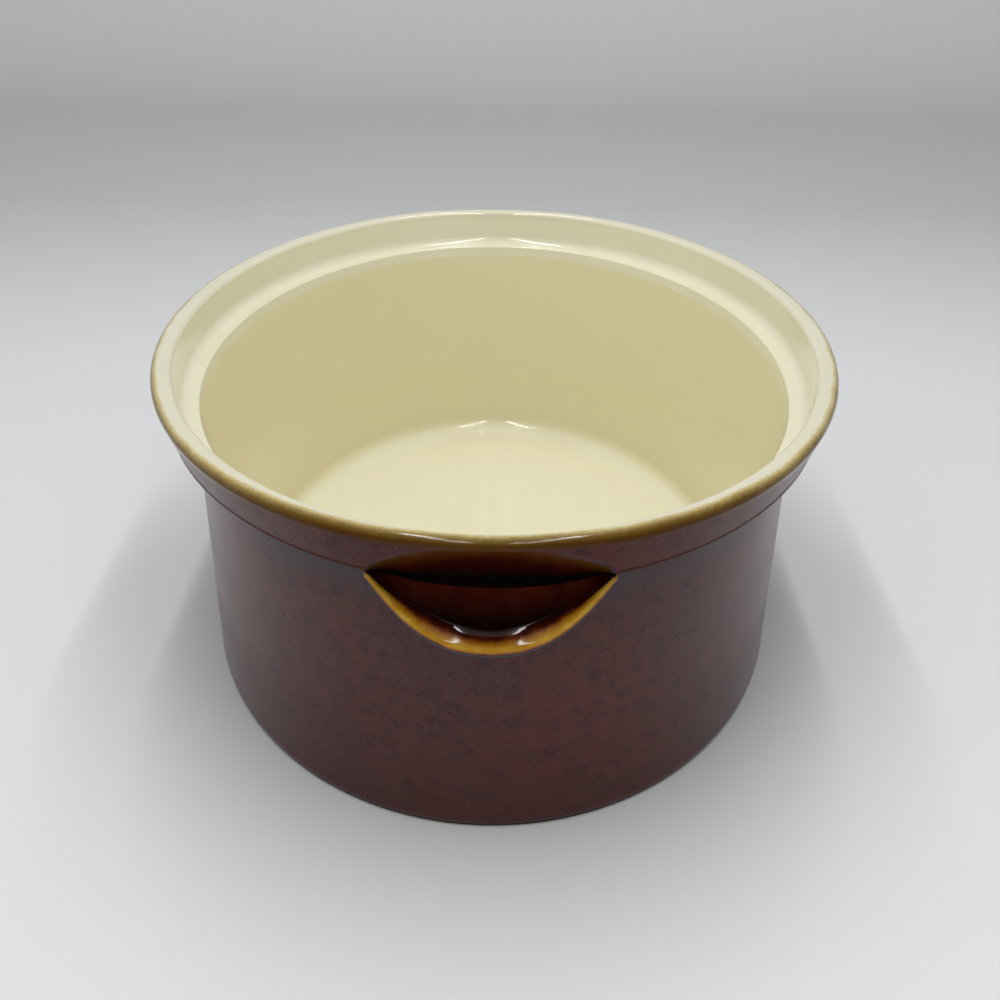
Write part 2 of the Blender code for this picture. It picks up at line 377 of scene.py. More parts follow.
def rounded(corners):
    """A closed section with rounded corners, for every angle at once.

    corners is a list of (inset, height, radius), each a number or an array over the angles.
    With unit vectors p and q from a corner to its neighbours and h half the angle between
    them, the arc touches the sides at radius / tan h, its centre lies radius / sin h along
    p + q, and it turns through pi - 2h. A guard point on each side keeps flat faces flat.
    """
    count = max(np.size(part) for corner in corners for part in corner)
    table = np.empty((count, len(corners), 3))
    for index, corner in enumerate(corners):
        for part in range(3):
            table[:, index, part] = corner[part]
    point = table[..., :2]
    radius = table[..., 2]
    to_last = np.roll(point, 1, axis=1) - point
    to_next = np.roll(point, -1, axis=1) - point
    length_last = np.linalg.norm(to_last, axis=-1)
    length_next = np.linalg.norm(to_next, axis=-1)
    p = to_last / length_last[..., None]
    q = to_next / length_next[..., None]
    half = 0.5 * np.arccos(np.clip((p * q).sum(-1), -STRAIGHT_COSINE, STRAIGHT_COSINE))
    wish = radius / np.tan(half)
    wish_last = np.roll(wish, 1, axis=1)
    wish_next = np.roll(wish, -1, axis=1)
    room_last = ROUND_ROOM * length_last * wish / (wish + wish_last)
    room_next = ROUND_ROOM * length_next * wish / (wish + wish_next)
    touch = np.minimum(wish, np.minimum(room_last, room_next))
    radius = touch * np.tan(half)
    middle = p + q
    middle = middle / np.maximum(np.linalg.norm(middle, axis=-1), 1e-9)[..., None]
    centre = point + middle * (radius / np.sin(half))[..., None]
    start = (point + p * touch[..., None] - centre) / radius[..., None]
    end = (point + q * touch[..., None] - centre) / radius[..., None]
    turn = np.pi - 2.0 * half
    share = np.linspace(0.0, 1.0, ROUND_STEPS + 1)
    first = np.sin((1.0 - share) * turn[..., None]) / np.sin(turn)[..., None]
    last = np.sin(share * turn[..., None]) / np.sin(turn)[..., None]
    spokes = first[..., None] * start[..., None, :] + last[..., None] * end[..., None, :]
    arcs = centre[..., None, :] + radius[..., None, None] * spokes
    free_last = length_last - touch - np.roll(touch, 1, axis=1)
    free_next = length_next - touch - np.roll(touch, -1, axis=1)
    guard_last = touch + np.minimum(GUARD_REACH, GUARD_SHARE * free_last)
    guard_next = touch + np.minimum(GUARD_REACH, GUARD_SHARE * free_next)
    before = point + p * guard_last[..., None]
    after = point + q * guard_next[..., None]
    section = np.concatenate([before[..., None, :], arcs, after[..., None, :]], axis=2)
    return section.reshape(count, -1, 2)


def along(section):
    """Length along a section from its first point, in millimetres, for every angle."""
    step = np.linalg.norm(np.diff(section, axis=1), axis=-1)
    return np.concatenate([np.zeros((len(section), 1)), np.cumsum(step, axis=1)], axis=1)


def corner_point(index, share=0.5):
    """Number of the section point at a share of the way round a corner's arc."""
    return index * (ROUND_STEPS + 3) + 1 + int(round(share * ROUND_STEPS))


def length_from(section, index, share=0.5):
    """Length along a section from a point on a corner's arc, negative before it."""
    length = along(section)
    return length - length[:, corner_point(index, share)][:, None]


def mouth_places():
    """Places across a mouth, MOUTH_HALF_WIDTH sin(phi) for even steps of phi from corner to corner."""
    phi = np.linspace(-0.5 * np.pi, 0.5 * np.pi, MOUTH_STEPS + 1)
    return MOUTH_HALF_WIDTH * np.sin(phi)


def ring_angles():
    """Angles round the oval: at the places across each mouth, and easing out along the sides.

    Along a side the share of the way is s - SIDE_EASE sin(2 pi s) for even steps of s.
    """
    front = 1.5 * np.pi + np.arcsin(mouth_places() / (RIM_HALF_WIDTH - COLLAR_EDGE_INSET))
    share = np.linspace(0.0, 1.0, SIDE_STEPS + 1)[1:-1]
    eased = share - SIDE_EASE * np.sin(2.0 * np.pi * share)
    start = front[-1]
    stop = 2.5 * np.pi - (front[-1] - 1.5 * np.pi)
    right = start + (stop - start) * eased
    back = front + np.pi
    left = right + np.pi
    return np.concatenate([front, right, back, left])


def quads(rows, columns, wrap_rows, wrap_columns):
    """Corner numbers of the quads between the points of a grid, wrapping where it closes."""
    row, column = np.meshgrid(
        np.arange(rows if wrap_rows else rows - 1),
        np.arange(columns if wrap_columns else columns - 1),
        indexing="ij",
    )
    next_row = (row + 1) % rows
    next_column = (column + 1) % columns
    corners = [
        row * columns + column,
        next_row * columns + column,
        next_row * columns + next_column,
        row * columns + next_column,
    ]
    return np.stack(corners, axis=-1).reshape(-1, 4)


def carried_round(angles, section):
    """A closed section, the same or one for each angle, carried round the oval.

    Returns the section for every angle, the points and the faces.
    """
    section = np.broadcast_to(section, (len(angles), *section.shape[1:]))
    points = oval(angles[:, None], section[..., 0], section[..., 1])
    faces = quads(len(angles), section.shape[1], True, True)
    return section, points, faces


def new_piece(name, points, faces, materials, node, values, face_material=None):
    """A mesh object at the origin that stands for a node and rides on the dish."""
    mesh = bpy.data.meshes.new(name)
    mesh.from_pydata(points.reshape(-1, 3), [], faces)
    for material in materials:
        mesh.materials.append(material)
    if face_material is not None:
        mesh.polygons.foreach_set("material_index", np.asarray(face_material, dtype=np.int32))
    for label, value in values.items():
        attribute = mesh.attributes.new(label, "FLOAT", "POINT")
        attribute.data.foreach_set("value", np.asarray(value, dtype=np.float32).ravel())
    mesh.shade_smooth()
    mesh.set_sharp_from_angle(angle=SHARP_ANGLE)
    mesh.validate()
    piece = bpy.data.objects.new(name, mesh)
    bpy.context.scene.collection.objects.link(piece)
    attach(piece, "root")
    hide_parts(node)


# Materials


def node_tree(material):
    """The material's nodes and links, and its Principled shader."""
    material.use_nodes = True
    tree = material.node_tree
    return tree, tree.nodes["Principled BSDF"]


def add(tree, kind, **values):
    """A node of a kind, with its properties set and its inputs given or linked by name."""
    node = tree.nodes.new(kind)
    for label, value in values.items():
        if not label.startswith("in_"):
            setattr(node, label, value)
    for label, value in values.items():
        if label.startswith("in_"):
            key = label[3:]
            socket = node.inputs[int(key)] if key.isdigit() else node.inputs[key.replace("_", " ")]
            if isinstance(value, bpy.types.NodeSocket):
                tree.links.new(value, socket)
            else:
                socket.default_value = value
    return node


def math_node(tree, operation, first, second=0.5, third=0.5):
    """The output of a Math node."""
    node = add(tree, "ShaderNodeMath", operation=operation, in_0=first, in_1=second, in_2=third)
    return node.outputs[0]


def solid(colour):
    """A colour with full alpha."""
    return (*colour, 1.0)


def mix_colour(tree, factor, first, second):
    """The output of a colour mix."""
    node = add(tree, "ShaderNodeMix", data_type="RGBA", in_0=factor, in_6=first, in_7=second)
    return node.outputs[2]


def noise(tree, position, scale, detail=2.0, roughness=0.5):
    """A noise value round 0.5, with a scale in waves per metre."""
    node = add(
        tree, "ShaderNodeTexNoise",
        in_Vector=position, in_Scale=scale, in_Detail=detail, in_Roughness=roughness,
    )
    return node.outputs["Fac"]


def ramp(tree, factor, stops):
    """A colour ramp through (place, colour) stops."""
    node = add(tree, "ShaderNodeValToRGB", in_Fac=factor)
    elements = node.color_ramp.elements
    while len(elements) < len(stops):
        elements.new(0.5)
    for element, (place, colour) in zip(elements, stops):
        element.position = place
        element.color = solid(colour)
    return node.outputs["Color"]


def span(tree, value, low, high):
    """Value brought from low..high to 0..1 by a smooth step and held there."""
    node = add(
        tree, "ShaderNodeMapRange", clamp=True, interpolation_type="SMOOTHSTEP",
        in_0=value, in_1=low, in_2=high, in_3=0.0, in_4=1.0,
    )
    return node.outputs[0]


def look_group(name, masks):
    """A shader node group that turns a position and masks into a colour, a roughness and a height.

    Returns the tree and its two end nodes.
    """
    tree = bpy.data.node_groups.new(name, "ShaderNodeTree")
    tree.interface.new_socket(name="Position", in_out="INPUT", socket_type="NodeSocketVector")
    for label in masks:
        tree.interface.new_socket(name=label, in_out="INPUT", socket_type="NodeSocketFloat")
    tree.interface.new_socket(name="Color", in_out="OUTPUT", socket_type="NodeSocketColor")
    for label in ("Roughness", "Height"):
        tree.interface.new_socket(name=label, in_out="OUTPUT", socket_type="NodeSocketFloat")
    return tree, tree.nodes.new("NodeGroupInput"), tree.nodes.new("NodeGroupOutput")


def cream_look_group():
    """Cream glaze: a warm pale colour with slow clouding and iron specks, yellower and darker where
    PoolAndPaintedLight is high, glaze pooled low on the wall that also paints its shade.
    """
    tree, source, sink = look_group("cream_glaze_look", ["PoolAndPaintedLight"])
    position = source.outputs["Position"]
    cloud = noise(tree, position, CREAM_CLOUD_WAVES, detail=3.0)
    colour = ramp(tree, cloud, CREAM)
    colour = mix_colour(tree, source.outputs["PoolAndPaintedLight"], colour, solid(CREAM_POOL_AND_SHADE))
    specks = add(tree, "ShaderNodeTexVoronoi", in_Vector=position, in_Scale=SPECK_CELLS)
    chance = noise(tree, position, SPECK_CHANCE_WAVES)
    speck = span(tree, math_node(tree, "ADD", specks.outputs["Distance"], chance), *SPECK_SPAN)
    speck_share = math_node(tree, "MULTIPLY", speck, SPECK_STRENGTH)
    colour = mix_colour(tree, speck_share, colour, solid(IRON_SPECK))
    tree.links.new(colour, sink.inputs["Color"])
    streak = noise(tree, position, CREAM_STREAK_WAVES)
    rough = math_node(tree, "MULTIPLY_ADD", streak, STREAK_ROUGHNESS, CREAM_ROUGHNESS)
    tree.links.new(rough, sink.inputs["Roughness"])
    ripple = noise(tree, position, CREAM_RIPPLE_WAVES, detail=1.0)
    height = math_node(tree, "MULTIPLY_ADD", speck, SPECK_PIT, ripple)
    tree.links.new(height, sink.inputs["Height"])
    return tree


def brown_look_group():
    """Iron-brown glaze: deep red, under a red film where Haze is high, and amber where Thin is high.

    Where PoolAndPaintedLight is high, the deep red turns nearly black and the film grey: pooled glaze,
    together with painted shade in recesses and a painted reflection under a lip.
    """
    tree, source, sink = look_group("brown_glaze_look", ["Thin", "Haze", "PoolAndPaintedLight"])
    position = source.outputs["Position"]
    cloud = noise(tree, position, BROWN_CLOUD_WAVES, detail=3.0)
    mottle = noise(tree, position, BROWN_MOTTLE_WAVES, detail=4.0, roughness=0.65)
    grain = noise(tree, position, BROWN_GRAIN_WAVES)
    deep = ramp(tree, mottle, DEEP_RED)
    deep = mix_colour(tree, source.outputs["PoolAndPaintedLight"], deep, solid(DEEP_POOL_AND_SHADE))
    film = ramp(tree, cloud, FILM)
    film = mix_colour(tree, span(tree, mottle, *MOTTLE_SPAN), film, solid(FILM_MOTTLE))
    film = mix_colour(tree, span(tree, grain, *GRAIN_SPAN), film, solid(FILM_GRAIN))
    pool = math_node(tree, "MULTIPLY", source.outputs["PoolAndPaintedLight"], span(tree, cloud, *FILM_POOL_SPAN))
    film = mix_colour(tree, pool, film, solid(FILM_POOL_AND_SHEEN))
    colour = mix_colour(tree, source.outputs["Haze"], deep, film)
    centred = math_node(tree, "SUBTRACT", mottle, 0.5)
    uneven = math_node(tree, "MULTIPLY_ADD", centred, AMBER_MOTTLE, source.outputs["Thin"])
    amber = ramp(tree, uneven, AMBER)
    colour = mix_colour(tree, span(tree, uneven, *AMBER_SPAN), colour, amber)
    tree.links.new(colour, sink.inputs["Color"])
    rough = math_node(tree, "MULTIPLY_ADD", source.outputs["Haze"], FILM_ROUGHNESS, DEEP_ROUGHNESS)
    rough = math_node(tree, "MULTIPLY_ADD", mottle, MOTTLE_ROUGHNESS, rough)
    tree.links.new(rough, sink.inputs["Roughness"])
    ripple = noise(tree, position, BROWN_RIPPLE_WAVES, detail=1.0)
    height = math_node(tree, "MULTIPLY_ADD", mottle, MOTTLE_RELIEF, ripple)
    tree.links.new(height, sink.inputs["Height"])
    return tree


def clay_look_group():
    """Bare fired clay: warm grey with fine sand and slow clouding, darkened where PaintedShadow is high by a
    painted contact shadow.
    """
    tree, source, sink = look_group("bare_clay_look", ["PaintedShadow"])
    position = source.outputs["Position"]
    sand = noise(tree, position, CLAY_SAND_WAVES, detail=4.0, roughness=0.7)
    cloud = noise(tree, position, CLAY_CLOUD_WAVES, detail=3.0)
    colour = ramp(tree, sand, CLAY)
    cloud_share = math_node(tree, "MULTIPLY", cloud, CLAY_CLOUD_STRENGTH)
    colour = mix_colour(tree, cloud_share, colour, solid(CLAY_CLOUD))
    colour = mix_colour(tree, source.outputs["PaintedShadow"], colour, solid(FOOT_PAINTED_SHADOW))
    tree.links.new(colour, sink.inputs["Color"])
    rough = math_node(tree, "MULTIPLY_ADD", sand, SAND_ROUGHNESS, CLAY_ROUGHNESS)
    tree.links.new(rough, sink.inputs["Roughness"])
    tree.links.new(sand, sink.inputs["Height"])
    return tree


def read_value(tree, label):
    """A float attribute of the piece."""
    node = add(tree, "ShaderNodeAttribute", attribute_type="GEOMETRY", attribute_name=label)
    return node.outputs["Fac"]


def object_position(tree):
    """Object coordinates of the piece, in metres."""
    return tree.nodes.new("ShaderNodeTexCoord").outputs["Object"]


def place_look(tree, group, position, masks):
    """A look group in a material, fed with the object's own position and with masks by name."""
    node = tree.nodes.new("ShaderNodeGroup")
    node.node_tree = group
    tree.links.new(position, node.inputs["Position"])
    for label, value in masks.items():
        tree.links.new(value, node.inputs[label])
    return node


def finish_surface(tree, shader, colour, roughness, height, ripple):
    """Feed a colour, a roughness and a height of surface ripple into the Principled shader."""
    tree.links.new(colour, shader.inputs["Base Color"])
    tree.links.new(roughness, shader.inputs["Roughness"])
    bump = add(tree, "ShaderNodeBump", in_Strength=1.0, in_Distance=ripple, in_Height=height)
    tree.links.new(bump.outputs["Normal"], shader.inputs["Normal"])
    shader.inputs["IOR"].default_value = GLAZE_IOR


def look_material(name, group, masks, ripple):
    """A material of one look group, whose masks are read from attributes; returns it and its shader."""
    material = bpy.data.materials.new(name)
    tree, shader = node_tree(material)
    values = {label: read_value(tree, attribute) for label, attribute in masks.items()}
    look = place_look(tree, group, object_position(tree), values)
    outputs = look.outputs
    finish_surface(tree, shader, outputs["Color"], outputs["Roughness"], outputs["Height"], ripple)
    return material, shader


def cream_material():
    """Cream glaze of the inside."""
    material, _ = look_material("cream_glaze", CREAM_LOOK, {"PoolAndPaintedLight": "pool_and_painted_light"}, GLAZE_RIPPLE)
    return material


def brown_material():
    """Brown glaze of the outside, amber where the thin value is high."""
    masks = {"Thin": "thin", "Haze": "haze", "PoolAndPaintedLight": "pool_and_painted_light"}
    material, shader = look_material("brown_glaze", BROWN_LOOK, masks, GLAZE_RIPPLE)
    shader.inputs["Specular IOR Level"].default_value = BROWN_SPECULAR
    return material


def clay_material():
    """Bare clay of the foot and the underside."""
    material, _ = look_material("bare_stoneware", CLAY_LOOK, {"PaintedShadow": "painted_shadow"}, CLAY_RIPPLE)
    return material


def rim_material():
    """Both glazes of the collar: cream runs over the rim and breaks through honey into brown.

    past_crest is the length over the surface from the rim's crest, in millimetres, outwards.
    The line of the break wanders and frays by noise. A clear coat lies on the cream
    and the honey, and more thinly in the scoops.
    """
    material = bpy.data.materials.new("rim_glaze")
    tree, shader = node_tree(material)
    position = object_position(tree)
    haze = read_value(tree, "haze")
    pool_and_painted_light = read_value(tree, "pool_and_painted_light")
    cream = place_look(tree, CREAM_LOOK, position, {})
    brown = place_look(tree, BROWN_LOOK, position, {"Haze": haze, "PoolAndPaintedLight": pool_and_painted_light})
    slow = noise(tree, position, BREAK_WANDER_WAVES, detail=3.0)
    fine = noise(tree, position, BREAK_FRAY_WAVES, detail=3.0, roughness=0.7)
    wander = math_node(tree, "SUBTRACT", slow, 0.5)
    fray = math_node(tree, "SUBTRACT", fine, 0.5)
    line = math_node(tree, "MULTIPLY_ADD", wander, BREAK_WANDER, read_value(tree, "past_crest"))
    line = math_node(tree, "MULTIPLY_ADD", fray, BREAK_FRAY, line)
    honey = ramp(tree, math_node(tree, "MULTIPLY_ADD", line, HONEY_RAMP_SLOPE, HONEY_RAMP_START), HONEY)
    rubbed = math_node(tree, "MULTIPLY", span(tree, line, *RUBBED_PLACES), RUBBED_STRENGTH)
    over = span(tree, line, *BROWN_PLACES)
    colour = mix_colour(tree, rubbed, cream.outputs["Color"], solid(RUBBED_CREAM))
    colour = mix_colour(tree, span(tree, line, *HONEY_PLACES), colour, honey)
    colour = mix_colour(tree, over, colour, brown.outputs["Color"])
    rough = add(
        tree, "ShaderNodeMix", data_type="FLOAT",
        in_0=over, in_2=cream.outputs["Roughness"], in_3=brown.outputs["Roughness"],
    )
    covered = math_node(tree, "MAXIMUM", haze, pool_and_painted_light)
    matt = math_node(tree, "MULTIPLY_ADD", covered, 1.0 - BARE_BROWN_MATT, BARE_BROWN_MATT)
    dull = math_node(tree, "MULTIPLY", span(tree, line, *COAT_END_PLACES), matt)
    coat = math_node(tree, "MULTIPLY_ADD", dull, -RIM_COAT, RIM_COAT)
    tree.links.new(coat, shader.inputs["Coat Weight"])
    shader.inputs["Coat Roughness"].default_value = RIM_COAT_ROUGHNESS
    shader.inputs["Specular IOR Level"].default_value = RIM_SPECULAR
    finish_surface(tree, shader, colour, rough.outputs[0], brown.outputs["Height"], GLAZE_RIPPLE)
    return material


# Pieces


def face_inset(height):
    """Inset of the collar's leaning outer face at a height, 0 above its shoulder."""
    return np.maximum(0.0, COLLAR_EDGE_INSET - (height - COLLAR_EDGE_HEIGHT) * COLLAR_FACE_LEAN)


def underside_height(inset):
    """Height of the collar's sloping underside at an inset."""
    return COLLAR_EDGE_HEIGHT - (inset - COLLAR_EDGE_INSET) * UNDERSIDE_SLOPE


def wall_inset(height):
    """Inset of the side wall's outer face at a height."""
    return WALL_INSET + WALL_LEAN * (SEAM_HEIGHT - height)


def mouth_share(angle):
    """1 in the middle of a mouth, 1 - (x / MOUTH_HALF_WIDTH)^2 to its corners and 0 along the sides."""
    across = (RIM_HALF_WIDTH - COLLAR_EDGE_INSET) * np.cos(angle) / MOUTH_HALF_WIDTH
    return np.maximum(0.0, 1.0 - across * across)


def build_collar(angles):
    """Rim collar: its section carried round the oval, cut back under an arch over each mouth.

    The arch stands SCOOP_RISE sqrt(share) over the collar's lower edge. The cut runs straight
    from it to the lower edge, which is drawn in by SCOOP_DEPTH sqrt(share). The face over it is
    pressed in by FACE_PRESS times a smooth step of the share. Elsewhere a bead runs along the edge.
    """
    root = np.sqrt(mouth_share(angles))
    edge = COLLAR_EDGE_INSET + SCOOP_DEPTH * root
    arch = COLLAR_EDGE_HEIGHT + np.maximum(LEAST_ARCH, SCOOP_RISE * root)
    shoulder = np.maximum(SHOULDER_HEIGHT, arch + SHOULDER_OVER_ARCH)
    pressed = FACE_PRESS * smoothstep(root * root)
    bead = EDGE_BEAD * (1.0 - smoothstep(SCOOP_FADE * root))
    corners = [
        (WALL_INSET, SEAM_HEIGHT, SEAM_ROUND),
        (WALL_INSET, underside_height(WALL_INSET), UNDERSIDE_ROUND),
        (edge - bead, COLLAR_EDGE_HEIGHT + SCOOP_EDGE_LIFT * root, COLLAR_EDGE_ROUND),
        (face_inset(arch) + pressed, arch, ARCH_ROUND),
        (pressed, shoulder, SHOULDER_ROUND),
        (pressed, RIM_TOP, RIM_OUTER_ROUND),
        (RIM_WIDTH, RIM_TOP, RIM_INNER_ROUND),
        (GALLERY_INSET, LEDGE_HEIGHT, GALLERY_ROUND),
        (LEDGE_INSET, LEDGE_HEIGHT, LEDGE_ROUND),
        (SEAM_INNER_INSET, SEAM_HEIGHT, SEAM_ROUND),
    ]
    underside_corner, edge_corner, arch_corner, rim_corner = 1, 2, 3, 5
    section, points, faces = carried_round(angles, rounded(corners))
    at_front = (np.sin(angles) < 0.0) * (1.0 - rise(np.abs(np.cos(angles)), *FRONT_BREAK_COSINES))
    past_crest = CREAM_BREAK * at_front[:, None] - length_from(section, rim_corner, 0.75)
    numbers = np.arange(section.shape[1])[None, :]
    in_scoop = (numbers >= corner_point(underside_corner)) & (numbers <= corner_point(arch_corner))
    on_edge = EDGE_THIN * np.exp(-((length_from(section, edge_corner) / EDGE_THIN_WIDTH) ** 2))
    haze = 1.0 - np.maximum(in_scoop * smoothstep(SCOOP_FADE * root)[:, None], on_edge)
    # Pooled glaze in the scoop, near black low down and at its ends: partly painted shade in the recess
    # under the arch
    down = -length_from(section, arch_corner)
    to_ends = SCOOP_END_POOL_SHADE * smoothstep(SCOOP_END_REACH * (1.0 - root))[:, None]
    pool_and_painted_light = in_scoop * np.maximum(rise(down, *SCOOP_POOL_SHADE_PLACES), to_ends * rise(down, *SCOOP_END_PLACES))
    new_piece(
        "rim_collar_glazed", points, faces, [RIM_GLAZE], "rim_collar",
        {"past_crest": past_crest, "haze": haze, "pool_and_painted_light": pool_and_painted_light},
    )


def build_wall(angles):
    """Side wall: nearly upright outside, drafted inside down to a tight cove that runs out on the floor.

    The outer rows between the slab and the seam let the haze and the pooled glaze change with height; the
    haze carries painted shade, darker towards the foot and in a dark line under the collar.
    """
    inner = [
        (SEAM_INNER_INSET, SEAM_HEIGHT, SEAM_ROUND),
        (COVE_INSET, COVE_HEIGHT, COVE_ROUND),
        (RUN_OUT_INSET, FLOOR_HEIGHT, RUN_OUT_ROUND),
        (TOE_INSET, FLOOR_HEIGHT, TOE_ROUND),
        (TOE_INSET, SLAB_TOP, TOE_ROUND),
    ]
    outer = [(wall_inset(SLAB_TOP), SLAB_TOP, SEAM_ROUND)]
    outer += [(wall_inset(height), height, WALL_ROW_ROUND) for height in WALL_ROW_HEIGHTS]
    outer += [(WALL_INSET, SEAM_HEIGHT, SEAM_ROUND)]
    corners = inner + outer
    section, points, faces = carried_round(angles, rounded(corners))
    numbers = np.arange(section.shape[1])
    first_outer = corner_point(len(inner), 0.0)
    last_outer = corner_point(len(corners) - 1, 1.0)
    outside = (numbers >= first_outer) & (numbers <= last_outer)
    inset = section[..., 0]
    height = section[..., 1]
    # Glaze pooled low on the inner wall, darker and yellower, and also painted shade where the wall runs
    # into the floor
    cove_pool_and_shade = rise(height, *COVE_POOL_SHADE_HEIGHTS) * (1.0 - rise(height, *COVE_POOL_SHADE_END_HEIGHTS))
    neck_pool = rise(height, *NECK_POOL_HEIGHTS)
    pool_and_painted_light = np.where(inset > INNER_SIDE_INSET, cove_pool_and_shade, neck_pool)
    # The haze carries painted shade: thinner towards the foot, and taken off just under the collar as a
    # painted shadow
    haze = between(WALL_FOOT_SHADED_HAZE, 1.0, rise(height, *WALL_HAZE_HEIGHTS)) - rise(height, *NECK_PAINTED_SHADOW_HEIGHTS)
    new_piece(
        "side_wall_glazed", points, faces, [CREAM_GLAZE, BROWN_GLAZE], "side_wall",
        {"haze": haze, "pool_and_painted_light": pool_and_painted_light}, np.tile(outside, len(angles)),
    )


def build_floor(angles):
    """Floor slab: rings of one outline, closed by a fan at a pole above and one below.

    Each ring is the oval at an inset, shrunk towards the middle by a share. The rings run from
    the bare underside out, up the glazed edge, under the wall and over the cream floor.
    """
    edge = wall_inset(SLAB_TOP)
    under = edge + UNDERSIDE_INSET
    rings = [(under, GLAZE_FOOT, share) for share in (*POLE_SHARES, 1.0)]
    rings += [(edge + aside, GLAZE_FOOT + up, 1.0) for aside, up in GLAZE_ROLL]
    rings += [(edge, SLAB_MIDDLE, 1.0), (edge, SLAB_TOP, 1.0)]
    rings += [(TOE_INSET, SLAB_TOP, 1.0), (TOE_INSET, FLOOR_HEIGHT, 1.0)]
    rings += [(TOE_INSET, FLOOR_HEIGHT, share) for share in POLE_SHARES[::-1]]
    inset, height, share = np.array(rings).T
    points = oval(angles[:, None], inset, height)
    points[..., :2] *= share[:, None]
    poles = MM * np.array([[0.0, 0.0, GLAZE_FOOT], [0.0, 0.0, FLOOR_HEIGHT]])
    count = len(angles)
    columns = len(rings)
    low_pole = np.full(count, count * columns)
    row = np.arange(count)
    after = (row + 1) % count
    low_fan = np.stack([low_pole, after * columns, row * columns], axis=-1)
    high_fan = np.stack([low_pole + 1, (row + 1) * columns - 1, (after + 1) * columns - 1], axis=-1)
    faces = quads(count, columns, True, False).tolist() + low_fan.tolist() + high_fan.tolist()
    cream, brown, clay = 0, 1, 2
    first_brown = len(POLE_SHARES) + 2
    first_cream = first_brown + len(GLAZE_ROLL)
    column = np.tile(np.arange(columns - 1), count)
    material = np.where(column < first_brown, clay, np.where(column < first_cream, brown, cream))
    material = np.concatenate([material, np.full(count, clay), np.full(count, cream)])
    # The slab's glazed edge keeps the foot's thin film, the same painted shade
    haze = np.full(count * columns + len(poles), WALL_FOOT_SHADED_HAZE)
    new_piece(
        "floor_slab_glazed", np.concatenate([points.reshape(-1, 3), poles]), faces,
        [CREAM_GLAZE, BROWN_GLAZE, BARE_CLAY], "floor_slab", {"haze": haze}, material,
    )


def build_foot(angles):
    """Foot ring: a low bar of bare clay with softened edges, its outer side darkened by a painted contact
    shadow.
    """
    top = GLAZE_FOOT + FOOT_OVERLAP
    corners = [
        (FOOT_INSET, 0.0, FOOT_OUTER_ROUND),
        (FOOT_INSET, top, FOOT_TOP_ROUND),
        (FOOT_INSET + FOOT_WIDTH, top, FOOT_TOP_ROUND),
        (FOOT_INSET + FOOT_WIDTH, 0.0, FOOT_INNER_ROUND),
    ]
    section, points, faces = carried_round(angles, rounded(corners))
    numbers = np.arange(section.shape[1])
    # The outer side of the foot carries the painted contact shadow
    painted_shadow = (numbers >= corner_point(0, 0.4)) & (numbers <= corner_point(1, 1.0))
    new_piece(
        "foot_ring_bare", points, faces, [BARE_CLAY], "foot_ring",
        {"painted_shadow": np.tile(painted_shadow, len(angles))},
    )


